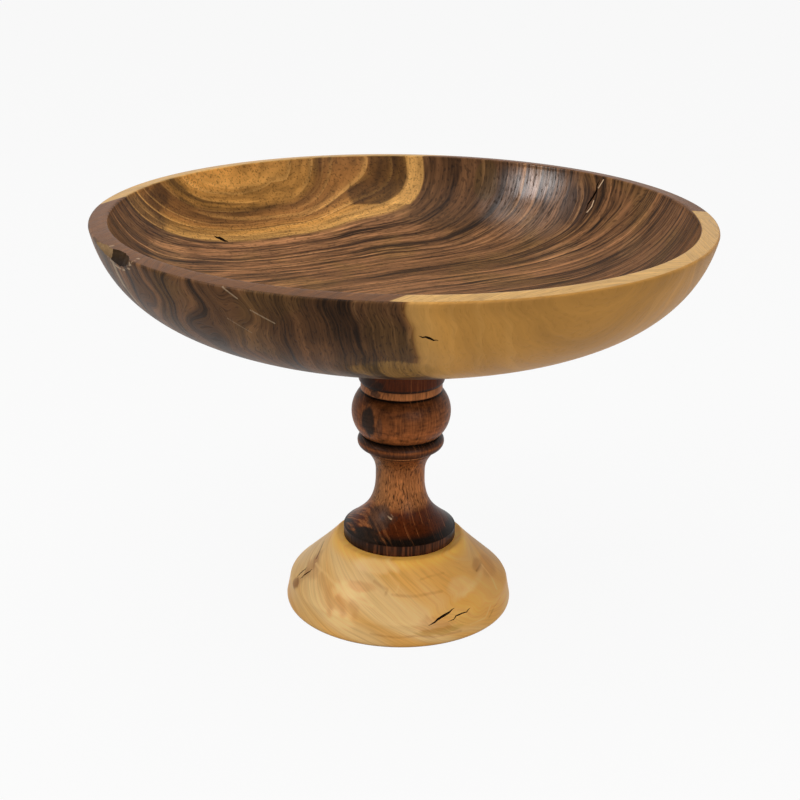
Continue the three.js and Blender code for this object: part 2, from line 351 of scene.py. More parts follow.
class Finish:
    """A material, or the world, with the nodes that are added to it and the colour painted so far."""

    def __init__(self, owner, target="ShaderNodeOutputMaterial"):
        self.material = owner
        self.target = target
        self.colour = WHITE
        owner.use_nodes = True
        self.tree = owner.node_tree
        self.tree.nodes.clear()

    def node(self, kind, settings=None, values=None, output=0):
        """Adds a node: its settings first, then the values or links of its sockets."""
        made = self.tree.nodes.new(kind)
        for name, value in (settings or {}).items():
            if name == "stops":
                self.set_stops(made.color_ramp, value)
            else:
                setattr(made, name, value)
        for key, value in (values or {}).items():
            self.feed(made.inputs[key], value)
        return Signal(self, made.outputs[output])

    def set_stops(self, ramp, stops):
        ramp.elements.remove(ramp.elements[1])
        for number, (position, colour) in enumerate(stops):
            stop = ramp.elements[0] if number == 0 else ramp.elements.new(position)
            stop.position = position
            stop.color = (*colour, 1)

    def feed(self, socket, value):
        if isinstance(value, Signal):
            self.tree.links.new(value.socket, socket)
        elif socket.type == "RGBA" and len(value) == 3:
            socket.default_value = (*value, 1)
        else:
            socket.default_value = value

    def place(self):
        """Place on the object in millimetres."""
        return self.scale(self.node("ShaderNodeTexCoord", output="Object"), 1 / MM)

    def axes(self, place):
        outputs = self.node("ShaderNodeSeparateXYZ", None, {0: place}).socket.node.outputs
        return tuple(Signal(self, outputs[number]) for number in range(3))

    def vector_maths(self, operation, *values, output=0):
        return self.node("ShaderNodeVectorMath", {"operation": operation}, dict(enumerate(values)), output)

    def span(self, vector):
        """Length of a vector."""
        return self.vector_maths("LENGTH", vector, output="Value")

    def vector(self, x, y, z=0.0):
        return self.node("ShaderNodeCombineXYZ", None, {0: x, 1: y, 2: z})

    def noise(self, vector, size=1.0, detail=2.0, roughness=0.5):
        """Soft noise. A size of three numbers stretches it along each axis."""
        if isinstance(size, tuple):
            vector = self.vector_maths("DIVIDE", vector, size)
            size = 1.0
        values = {"Vector": vector, "Scale": 1 / size, "Detail": detail, "Roughness": roughness}
        return self.node("ShaderNodeTexNoise", None, values)

    def chance(self, number):
        """Random number from 0 to 1, always the same one for the same number."""
        return self.node("ShaderNodeTexWhiteNoise", {"noise_dimensions": "1D"}, {"W": number})

    def mix(self, factor, first, second):
        return self.node("ShaderNodeMix", {"data_type": "RGBA"}, {0: factor, 6: first, 7: second}, output=2)

    def scale(self, value, strength):
        """A colour or a vector times a number, which may vary."""
        return self.node("ShaderNodeVectorMath", {"operation": "SCALE"}, {0: value, "Scale": strength})

    def paint(self, strength, shade, share=1):
        """Lays a colour, made darker or lighter by its share, over what is painted so far."""
        if share != 1:
            shade = scaled(shade, share)
        self.colour = self.mix(strength, self.colour, shade)

    def ramp(self, signal, stops):
        """Colour that follows a signal through stops of value, colour and strength."""
        low = stops[0][0]
        high = stops[-1][0]
        shades = [((at - low) / (high - low), scaled(shade, share)) for at, shade, share in stops]
        return self.node("ShaderNodeValToRGB", {"stops": shades}, {0: (signal - low) / (high - low)})

    def blob(self, place, middle, reach, soft=0.5):
        """1 inside an ellipsoid, falling to 0 outside it."""
        share = self.vector_maths("DIVIDE", self.vector_maths("SUBTRACT", place, middle), reach)
        return 1 - self.span(share).rise(1 - soft, 1 + soft)

    def away(self, place, start, end):
        """Distance from a straight line between two places."""
        along = Vector(end) - Vector(start)
        offset = self.vector_maths("SUBTRACT", place, start)
        share = self.vector_maths("DOT_PRODUCT", offset, along, output="Value") / along.length_squared
        near = self.scale(along, share.within(0, 1))
        return self.span(self.vector_maths("SUBTRACT", offset, near))

    def stroke(self, place, points, width, soft=0.6):
        """1 on a line through the points, falling to 0 beside it."""
        half = 0.5 * width
        marks = [1 - self.away(place, *ends).rise(half * (1 - soft), half * (1 + soft))
                 for ends in zip(points, points[1:])]
        total = marks[0]
        for mark in marks[1:]:
            total = total.at_least(mark)
        return total

    def varnish(self, roughness, height, relief, coat):
        """Wood of the painted colour under a satin varnish, its relief in metres."""
        bump = self.node("ShaderNodeBump", None, {"Strength": 1.0, "Distance": relief, "Height": height})
        values = {
            "Base Color": self.colour,
            "Roughness": roughness,
            "Normal": bump,
            "Specular IOR Level": 0.06,
            "Coat Weight": coat,
            "Coat Roughness": 0.22,
            "Coat IOR": 1.5,
        }
        self.output(self.node("ShaderNodeBsdfPrincipled", None, values))

    def output(self, shader):
        end = self.tree.nodes.new(self.target)
        self.tree.links.new(shader.socket, end.inputs["Surface"])

    def seen(self):
        """1 for the rays that reach the camera straight, by a reflection or through glass."""
        outputs = self.node("ShaderNodeLightPath").socket.node.outputs
        seen = Signal(self, outputs["Is Camera Ray"])
        for name in ("Is Glossy Ray", "Is Transmission Ray"):
            seen = seen.at_least(Signal(self, outputs[name]))
        return seen


# Outlines of turned work

class Outline:
    """Outline of a turned piece: (radius, height) points, each step going on from the last one."""

    def __init__(self, *points):
        self.points = list(points)

    def to(self, *points):
        self.points += points

    def line(self, end, steps):
        """Straight run of equal steps."""
        start = self.points[-1]
        for step in range(1, steps + 1):
            self.to(tuple(a + (b - a) * step / steps for a, b in zip(start, end)))

    def curve(self, start_handle, end_handle, end, steps):
        """Long curve, steered by a handle at each end."""
        corners = (self.points[-1], start_handle, end_handle, end)
        for step in range(1, steps + 1):
            t = step / steps
            u = 1 - t
            weights = (u**3, 3 * u * u * t, 3 * u * t * t, t**3)
            self.to(tuple(sum(w * c[i] for w, c in zip(weights, corners)) for i in (0, 1)))

    def ease(self, corner, end, steps=4):
        """Rounded corner."""
        start = self.points[-1]
        for step in range(1, steps + 1):
            t = step / steps
            u = 1 - t
            self.to(tuple(u * u * a + 2 * u * t * b + t * t * c for a, b, c in zip(start, corner, end)))

    def swell(self, bottom, height, end_radius, full_radius, steps):
        """Round member that swells from an end radius to its full radius half way up."""
        half = height / 2
        swell = full_radius - end_radius
        arc_radius = (swell**2 + half**2) / (2 * swell)
        reach = math.acos((arc_radius - swell) / arc_radius)
        centre = full_radius - arc_radius
        for step in range(steps + 1):
            tilt = reach * (2 * step / steps - 1)
            self.to((centre + arc_radius * math.cos(tilt), bottom + half + arc_radius * math.sin(tilt)))


# Modelling steps

def deselect():
    if bpy.context.object and bpy.context.object.mode != "OBJECT":
        bpy.ops.object.mode_set(mode="OBJECT")
    bpy.ops.object.select_all(action="DESELECT")


def named(obj, name):
    obj.name = name
    obj.data.name = name
    return obj


def chain(name, points):
    """Edge chain through 3D points, left in edit mode with its last point selected."""
    deselect()
    bpy.ops.mesh.primitive_plane_add(size=MM)
    obj = named(bpy.context.object, name)
    bpy.ops.object.mode_set(mode="EDIT")
    bpy.ops.mesh.merge(type="CENTER")
    bpy.ops.transform.translate(value=points[0])
    for before, after in zip(points, points[1:]):
        step = tuple(b - a for a, b in zip(before, after))
        bpy.ops.mesh.extrude_region_move(TRANSFORM_OT_translate={"value": step})
    return obj


def turn(name, outline, around):
    """Turned piece: its outline spun once round the upright axis and closed."""
    obj = chain(name, [(radius, 0.0, height) for radius, height in outline.points])
    bpy.ops.mesh.select_all(action="SELECT")
    bpy.ops.mesh.spin(steps=around, angle=2 * math.pi, center=(0, 0, 0), axis=(0, 0, 1))
    bpy.ops.mesh.select_all(action="SELECT")
    bpy.ops.mesh.remove_doubles(threshold=MM / 1000)
    bpy.ops.mesh.normals_make_consistent(inside=False)
    bpy.ops.object.mode_set(mode="OBJECT")
    return obj


def split_cutter(name, spine, normal, width, depth, finish):
    """Thin blade that follows a crooked line across a surface and is widest half way along it."""
    side = normal.cross(spine[-1] - spine[0]).normalized()
    out = normal * MM
    last = len(spine) - 1
    left = []
    right = []
    for number, point in enumerate(spine):
        taper = math.sin(math.pi * (number + 0.35) / (last + 0.7))
        half = 0.5 * width * max(taper, 0.12)
        left.append(point + side * half + out)
        right.append(point - side * half + out)
    tool = chain(name, left + right[::-1])
    bpy.ops.mesh.select_all(action="SELECT")
    bpy.ops.mesh.edge_face_add()
    bpy.ops.mesh.extrude_region_move(TRANSFORM_OT_translate={"value": -normal * (MM + depth)})
    bpy.ops.mesh.select_all(action="SELECT")
    bpy.ops.mesh.normals_make_consistent(inside=False)
    bpy.ops.object.mode_set(mode="OBJECT")
    tool.data.materials.append(finish)
    return tool


def crooked(start, end, normal, wobble, steps=9):
    """Points between two points in millimetres, which stray to either side by turns."""
    start = Vector(start) * MM
    end = Vector(end) * MM
    sideways = normal.cross(end - start).normalized() * MM
    points = []
    for step in range(steps + 1):
        share = step / steps
        stray = wobble * (math.sin(5.1 * step) + 0.6 * math.sin(2.3 * step + 1)) * math.sin(math.pi * share)
        points.append(start.lerp(end, share) + sideways * stray)
    return points


def split(finish, name, start, end, normal, width, depth, wobble):
    """Cutter for a split between two points on a surface, its sizes in millimetres."""
    normal = Vector(normal).normalized()
    return split_cutter(name, crooked(start, end, normal, wobble), normal, width * MM, depth * MM, finish)


def cut(piece, tools):
    """Cuts tools out of a piece. Their faces bring their own finish with them."""
    deselect()
    for tool in tools:
        tool.select_set(True)
    bpy.context.view_layer.objects.active = tools[0]
    if len(tools) > 1:
        bpy.ops.object.join()
    tool = bpy.context.object
    change = piece.modifiers.new("cut", "BOOLEAN")
    change.operation = "DIFFERENCE"
    change.solver = "EXACT"
    change.material_mode = "TRANSFER"
    change.object = tool
    deselect()
    bpy.context.view_layer.objects.active = piece
    piece.select_set(True)
    bpy.ops.object.modifier_apply(modifier=change.name)
    bpy.data.objects.remove(tool)


def finish_piece(piece, node, crease=30):
    """Shades a finished piece, sharp past an angle in degrees, and puts it in the place of its node."""
    if not piece.data.polygons:
        raise RuntimeError(f"{node} came out empty")
    deselect()
    bpy.context.view_layer.objects.active = piece
    piece.select_set(True)
    bpy.ops.object.shade_smooth_by_angle(angle=math.radians(crease))
    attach(piece, BODY)
    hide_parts(node)


# Patterns of wood

def growth(x, y, z):
    """Growth layers of the bowl's plank, in millimetres across it, and the place along it.

    The layers bow along the plank, lean through its thickness and shift towards its right end.
    """
    plank_turn = math.radians(33)
    along = x * math.cos(plank_turn) + y * math.sin(plank_turn)
    across = y * math.cos(plank_turn) - x * math.sin(plank_turn)
    bow = 0.0013 + 0.000004 * across
    far = (along - 30).at_least(0)
    layer = across + bow * (along + 5) ** 2 + 0.0013 * far ** 2
    side = ((layer - 50) / 25).within(-1, 1)
    lean = 0.17 + 0.004 * layer + 0.0042 * (along - 10).at_least(0) * side + 0.003 * along.at_most(0)
    lift = 44 - 44 * ((FLOOR_HEIGHT - z) / 34).exponential()
    spread = 0.35 * (178 - z).at_least(0) * (layer / -100).within(0, 1)
    shift = 4.6 * along.rise(30, 76) * side.at_least(0)
    return layer - lean * lift - spread + shift, along


def rings(finish, layer, along, height, spacing, reach):
    """A dark line and the light line beside it at the end of each year's growth.

    A year is one spacing wide, and a line comes and goes over the reach, both in millimetres.
    """
    stray = finish.noise(finish.vector(layer, along, height), (4 * spacing, 220, 220), 1)
    years = layer / spacing + 2.6 * stray
    year = years.whole()
    grown = years.part()
    fade = finish.noise(finish.vector(9 * year, along, height), (10, reach, reach), 1)
    dark = grown.rise(0.55, 0.94) * (1 - grown.rise(0.965, 1.0)) * finish.chance(year) * fade.rise(0.32, 0.6)
    light = (1 - grown.rise(0.04, 0.2)) * finish.chance(year + 0.5) * fade.rise(0.36, 0.6)
    return dark, light


def unrolled(points, radius):
    """Flat places of points on a turned face: the way round it from the front, and the height."""
    return [(math.atan2(x, -y) * radius, z, 0) for x, y, z in points]


def bowl_wood(colours):
    finish = Finish(bpy.data.materials.new("Bowl walnut"))
    place = finish.place()
    x, y, z = finish.axes(place)
    c = colours
    layer, along = growth(x, y, z)
    # Where a place lies: on the flat of the rim, on the outside, or on either
    radius = finish.span(finish.vector(x, y))
    inner = RIM_RADIUS - RIM_WIDTH
    edge = RIM_RADIUS - 1
    flat = radius.rise(inner, inner + 0.8) * (1 - radius.rise(edge, edge + 0.5))
    flat = flat * z.rise(RIM_HEIGHT - 1.45, RIM_HEIGHT - 0.95)
    middle_of_wall = RIM_RADIUS - 4.5 - 0.0033 * (RIM_HEIGHT - z).at_least(0) ** 2.5
    below = FLOOR_HEIGHT - 1.25
    outside = (radius - middle_of_wall).rise(-0.5, 0.5).at_least(1 - z.rise(below, below + 0.5))
    outer = outside.at_least(flat)
    # The layers wander, and swirl round a knot
    layer = layer - (2.2 * outer * (along - 60).at_least(0) + 5 * flat) * (layer / -40).within(0, 1)
    slow = finish.noise(place, 45, 1)
    quick = finish.noise(place, 15, 1)
    curl = finish.noise(place, 20, 0)
    swirl = finish.blob(place, (-88, -116, 190), (34, 28, 26), 0.6)
    stray = 4 * (slow - 0.5) + 0.8 * (quick - 0.5)
    layer = layer + stray * (1 - 0.7 * layer.rise(90, 104)) + 42 * swirl * (curl - 0.5)
    layer = layer + 2.7 * outside * (1 - z.rise(192, 203))
    # Colours from one bark edge of the plank to the other: the layer, its colour and how light it is
    finish.colour = finish.ramp(layer, (
        (-170, c.sap_outer, 0.93), (-124, c.sap_outer, 0.95), (-112, c.sap_outer, 1.05),
        (-105, c.sap_light, 0.95), (-103.6, c.sap_brown, 0.9), (-102, c.heart_deep, 0.8),
        (-96, c.heart_deep, 1.2), (-84, c.heart_deep, 0.95), (-60, c.heart_deep, 1.12),
        (-34, c.heart, 0.86), (0, c.heart, 0.92), (22, c.heart, 1.08), (36, c.heart, 1.0),
        (42, c.heart, 0.82), (46, c.heart, 0.6), (50, c.heart, 0.56), (55, c.heart, 0.78),
        (66, c.heart, 0.95), (84, c.heart, 0.98), (88.5, c.heart, 0.8), (90.4, c.heart_dark, 1.0),
        (91.6, c.heart, 0.95), (100.5, c.heart, 1.1), (102.4, c.heart, 0.8), (103.2, c.sap_light, 0.7),
        (107.5, c.sap, 0.84), (109.4, c.sap_brown, 1.15), (113, c.sap_brown, 1.1),
        (113.9, c.heart_dark, 1.3), (114.5, c.sap, 0.9), (122, c.sap, 1.12), (140, c.sap, 1.02),
    ))
    heart = layer.band(-103, 102.3, 0.8)
    golden = (layer - 102.3).rise(0, 1)
    grain = finish.vector(layer, along, z)
    dark, light = rings(finish, layer, along, z, 5.3, 46)
    fine_dark, fine_light = rings(finish, layer + 40, along, z, 2.4, 70)
    bands = finish.noise(grain, (6.5, 150, 150), 1)
    streaks = finish.noise(grain, (2.0, 75, 75), 3, 0.7)
    fibre = finish.noise(grain, (0.6, 12, 12), 1)
    pores = finish.noise(grain, (0.5, 2.6, 2.6), 0).rise(0.6, 0.7)
    specks = finish.noise(place, 1.1, 1).rise(0.56, 0.66) * golden
    mottle = finish.noise(place, 26, 2)

    finish.paint(0.5 * mottle.rise(0.48, 0.66) * heart, c.heart_olive)
    back = finish.blob(place, (34, 128, 188), (36, 30, 28), 0.6)
    # Patches: middle, reach, softness, strength, colour and how light it is
    patches = (
        ((-134, 10, 192), (22, 46, 17), 0.6, 0.75, c.heart_deep, 0.66),
        ((46, 129, 194), (7, 9, 14), 0.5, 0.75, c.heart_olive, 0.5),
        ((80, 68, 172), (14, 9, 9), 0.5, 0.4, c.heart_pale, 0.8),
        ((116, 42, 184), (7, 9, 14), 0.6, 0.45, c.heart_pale, 0.75),
        # Painted shade: a dark patch beside the wall's split
        ((95, 93, 190), (13, 11, 12), 0.8, 0.75, c.heart_dark, 1.3),
        ((-4, -127, 168.5), (18, 14, 8.5), 0.45, 0.85, c.sap_light, 0.68),
        ((-24, -137, 178), (16, 14, 9), 0.7, 0.55, c.heart_deep, 1.6),
        ((-63, -124, 181), (14, 16, 9), 0.7, 0.35, c.heart_pale, 0.6),
        ((-119, 25, 178), (12, 22, 9), 0.7, 0.3, c.heart_pale, 0.75),
        ((-35, -143, 194), (26, 14, 12), 0.6, 0.25, c.heart_dark, 1.8),
        ((-127.5, 54.5, 198.5), (6, 13, 6), 0.7, 0.75, c.sap_brown, 0.42),
    )
    ragged = 0.5 * (finish.noise(place, 7, 2) - 0.5)
    finish.paint(0.85 * (back + ragged).rise(0.3, 0.75), c.heart_deep, 0.62)
    for middle, reach, soft, strength, shade, share in patches:
        patch = (finish.blob(place, middle, reach, soft) + ragged).rise(0.3, 0.75)
        finish.paint(strength * patch, shade, share)
    wall = along.band(44, 84, 3) * (z - 180.5).rise(0, 1)
    finish.paint(0.8 * wall * layer.band(102.9, 105.2, 0.4), c.sap_light, 0.95)
    speckled = wall * layer.band(105.9, 109.6, 0.4)
    finish.paint((0.9 + 0.8 * ragged) * speckled, c.sap_brown, 0.36)
    cream = 1 - ((layer - 103.3) / 2.2).part().rise(0.05, 0.24)
    cream = cream * golden * (1 - (layer - 119).rise(0, 8)) * bands.rise(0.4, 0.55) * (1 - 0.8 * speckled)

    # Growth lines, fine figure and pores
    plain = (layer + 100).rise(-5, 0)
    calm = (1 - 0.45 * outside) * (1 - 0.6 * back)
    finish.paint((0.9 * dark + 0.6 * fine_dark) * (0.1 + 0.9 * plain) * calm, c.heart_dark)
    paler = finish.mix(heart, scaled(c.sap_light, 1.2), c.heart_pale)
    lighter = 0.4 * light * (0.4 + 0.6 * plain) + 0.3 * fine_light * plain
    slant = (1 - ((layer + 0.16 * z) / 5.2).part().rise(0.1, 0.34)) * layer.band(-122, -103, 6)
    finish.paint((lighter + 0.3 * slant * outside + 0.4 * cream) * calm, paler)
    contrast = 0.14 + 0.4 * golden + 0.98 * heart
    fine = (4.4 * (streaks - 0.5) + 2.1 * (fibre - 0.5)) * (1 - 0.5 * outside)
    fine = fine * (1 - 0.6 * swirl) * (1 - 0.4 * back)
    broad = (1.7 + 1.7 * outside) * (bands - 0.5)
    strength = (1.08 + contrast * (fine + broad)) * (1 - 0.35 * pores * contrast) * (1 - 0.42 * specks)
    aside = 1 - heart * (0.0028 * (1 - outer) * x).within(-0.18, 0.25)
    # Painted shade: the heartwood outside darker, as it faces away from the overhead light, and a darker
    # strip just under the rim
    painted_shade = (1 - 0.28 * outside * heart) * (1 - 0.14 * outside * z.rise(194, 205))
    finish.colour = finish.scale(finish.colour, strength.at_least(0.2) * aside * painted_shade)

    # Top of the rim: paler for its edge grain, and partly a painted sheen from the overhead light
    rim = finish.mix(heart, c.rim_sap, c.rim_heart)
    dashes = 0.98 + 0.9 * (streaks - 0.5) + 0.7 * (fibre - 0.5) - 0.2 * dark - 0.12 * pores
    finish.paint(0.85 * flat, finish.scale(rim, dashes))

    wall_radius = 140
    rolled = finish.vector(x.turn_from(-y) * wall_radius, z)
    # Pale scratches and lips of splits on the outside: start, end, width and strength
    scratches = (
        ((-72.7, -131.2, 204.6), (-66.5, -133.3, 200.6), 0.6, 0.6),
        ((-61.2, -134.3, 196.1), (-52, -138, 191.3), 0.6, 0.6),
        ((-72, -127, 190), (-63, -131, 184.5), 0.5, 0.35),
        ((-126.8, -78.5, 201.2), (-122.5, -76.5, 189.1), 3.0, 0.7),
        ((-122.5, -76.5, 189.1), (-116.4, -75.6, 180.3), 2.4, 0.6),
    )
    for start, end, width, strength in scratches:
        mark = finish.stroke(rolled, unrolled((start, end), wall_radius), width) * outside
        finish.paint(strength * mark * (2.4 * fibre - 0.2).within(0, 1), c.scratch)
    hollow = unrolled([(-123.9, -84.5, 205)], wall_radius)[0]
    offset = finish.vector_maths("SUBTRACT", rolled, hollow)
    lip = finish.span(finish.vector_maths("DIVIDE", offset, (12.3, 6.4, 1)))
    jagged = lip.band(0.96, 1.05, 0.05) * outside * finish.noise(place, 2.2, 1).rise(0.45, 0.55)
    finish.paint(0.8 * jagged, c.scratch)
    # Painted highlights: glints along the wall's split
    glints = (
        ((107.3, 91.2, 204), (104.9, 91.3, 199.6)),
        ((102.4, 89.1, 193), (101.3, 87.6, 190), (99, 87.1, 187)),
    )
    for glint in glints:
        finish.paint(0.9 * finish.stroke(place, glint, 0.6), c.scratch, 1.4)

    gloss = (1 - outer) * finish.blob(place, (74, 112, 187), (25, 25, 18), 0.6)
    gloss = gloss * (0.9 + 2.2 * (fibre - 0.5) - 0.5 * pores)
    height = 0.5 * streaks + 0.3 * fibre - 0.6 * pores
    finish.varnish(0.42 + 0.25 * (streaks - 0.5), height, 0.08 * MM, (0.03 + gloss).within(0, 1))
    return finish.material


def stem_wood(colours):
    finish = Finish(bpy.data.materials.new("Stem walnut"))
    place = finish.place()
    x, y, z = finish.axes(place)
    c = colours
    slow = finish.noise(place, (14, 14, 30), 2)
    knot = finish.blob(place, (-16.6, -18.9, 104.3), (9, 9, 16), 0.9)
    across = 0.891 * x + 0.454 * y + 3 * (slow - 0.5) + 6 * knot
    grain = finish.vector(across, 0.454 * x - 0.891 * y, z)
    line = ((across + 6.4) / 4.6).part()
    light = (1 - line.rise(0.02, 0.1)) * finish.noise(place, 8, 2).rise(0.42, 0.6)
    dark, pale = rings(finish, across, z, y, 2.2, 30)
    streaks = finish.noise(grain, (1.3, 3, 40), 3, 0.7)
    fibre = finish.noise(grain, (0.55, 0.8, 9), 1)
    dashes = finish.noise(grain, (0.7, 0.7, 3), 1)
    # Colours up the stem, one member after another: height, colour and how light it is
    finish.colour = finish.ramp(z, (
        (35, c.stem_dark, 1.4), (40.9, c.stem_dark, 1.4), (41.1, c.charcoal, 0.5), (43, c.charcoal, 0.7),
        (45.2, c.stem_deep, 0.9), (53, c.stem_deep, 1.1), (56, c.stem_orange, 0.8), (66, c.stem_orange, 1.0),
        (82.2, c.stem_red, 0.8), (82.9, c.charcoal, 0.5), (83.15, c.stem_pink, 0.8), (84.1, c.stem_pink, 0.6),
        (84.5, c.charcoal, 0.9), (85.4, c.stem_dark, 0.9), (87.2, c.stem_dark, 1.3), (88.4, c.stem_red, 1.1),
        (89.2, c.stem_dark, 1.1), (91.4, c.charcoal, 0.8), (92.4, c.charcoal, 0.6), (93.4, c.stem_red, 0.85),
        (99, c.stem_red, 1.2), (105, c.stem_red, 0.95), (111, c.stem_red, 0.66), (114.6, c.stem_red, 0.42),
        (115.1, c.charcoal, 0.5), (115.8, c.charcoal, 0.6), (116.3, c.stem_pink, 0.95),
        (119.4, c.stem_pink, 0.75), (119.9, c.charcoal, 0.4), (120.6, c.charcoal, 0.6),
        (121.6, c.stem_deep, 1.0), (155, c.stem_deep, 1.1),
    ))
    flare = z.band(45, 56, 3)
    neck = z.band(58, 80, 6)
    ball = z.band(92.5, 115, 0.5)
    left = ((-x - 2) / 12).within(0, 1)
    edges = ((x.absolute() - 16) / 8).within(0, 1) * ball
    # Painted sheen: the neck greyer and paler on its left side
    finish.paint(0.65 * neck * left, c.heart_pale, 0.6)
    finish.paint(0.4 * edges, c.stem_pink, 0.55)
    finish.paint((0.42 * flare + 0.05) * light * (1 - left), c.stem_pink)
    slanted = finish.noise(grain, (1.5, 16, 60), 2).rise(0.42, 0.6)
    finish.paint(0.8 * z.band(43, 56, 2) * left * slanted, c.stem_pink, 0.75)
    finish.paint(0.4 * dark * (1 - 0.6 * neck - 0.5 * ball), c.charcoal)
    finish.paint(0.22 * pale, c.stem_pink)
    ragged = 1.6 * (finish.noise(grain, (2.2, 4, 9), 3) - 0.5)
    pink = finish.blob(place, (-15.6, -18.7, 104.3), (5.4, 6, 9.5), 0.3)
    finish.paint(0.45 * pink, c.stem_pink, 0.8)
    # Knots and dark spots: middle, reach, strength and how light they are
    dark_spots = (
        ((-10, -14.5, 50), (7, 8, 7), 0.7, 3.8),
        ((-17.4, -20, 43), (9, 9, 3.4), 0.95, 1.3),
        ((-16.6, -18.9, 104.3), (4.5, 5.2, 8.2), 0.95, 1.5),
        ((-10.6, -22.6, 102.4), (1.5, 2, 5.4), 0.55, 3.0),
        ((-12.6, -16.9, 118), (2.4, 4, 1.8), 0.7, 2.0),
        ((-16.5, -14.8, 122.5), (9, 8, 3.6), 0.75, 1.4),
        ((27.7, -8.3, 41.5), (6, 9, 3.2), 0.9, 1.2),
        ((-22, -16, 38), (12, 12, 3.4), 0.75, 0.9),
    )
    for middle, reach, strength, share in dark_spots:
        patch = (finish.blob(place, middle, reach, 0.5) + ragged).rise(0.25, 0.8)
        finish.paint(strength * patch, c.charcoal, share)
    # Painted highlights: two glints on the flare
    glints = (((-6.6, -16, 52.5), (-4.3, -17.3, 51)), ((-4.4, -16.2, 53.2), (-3.6, -17, 52.2)))
    for start, end in glints:
        finish.paint(0.85 * finish.stroke(place, (start, end), 0.9), c.scratch, 1.5)
    stripes = z.band(35, 41, 0.2) * finish.noise(place, (1.1, 1.1, 30), 1).rise(0.42, 0.56)
    finish.paint(0.85 * stripes, c.stem_dark, 0.2)
    mottle = ball * (finish.noise(place, (6, 6, 1.7), 3) - 0.5)
    marks = dashes.rise(0.55, 0.65) * (0.22 + 0.45 * neck - 0.1 * ball)
    sparks = (1 - dashes.rise(0.34, 0.42)) * (neck + 0.5 * ball)
    figure = 1.4 * (streaks - 0.5) + 1.1 * (fibre - 0.5) + 0.8 * (slow - 0.5) + 2.2 * mottle
    strength = 1.02 + figure - marks + 0.4 * sparks
    finish.colour = finish.scale(finish.colour, strength.at_least(0.15))
    height = 0.5 * streaks + 0.4 * fibre - 0.5 * marks
    finish.varnish(0.4 + 0.25 * (streaks - 0.5), height, 0.08 * MM, 0.05)
    return finish.material


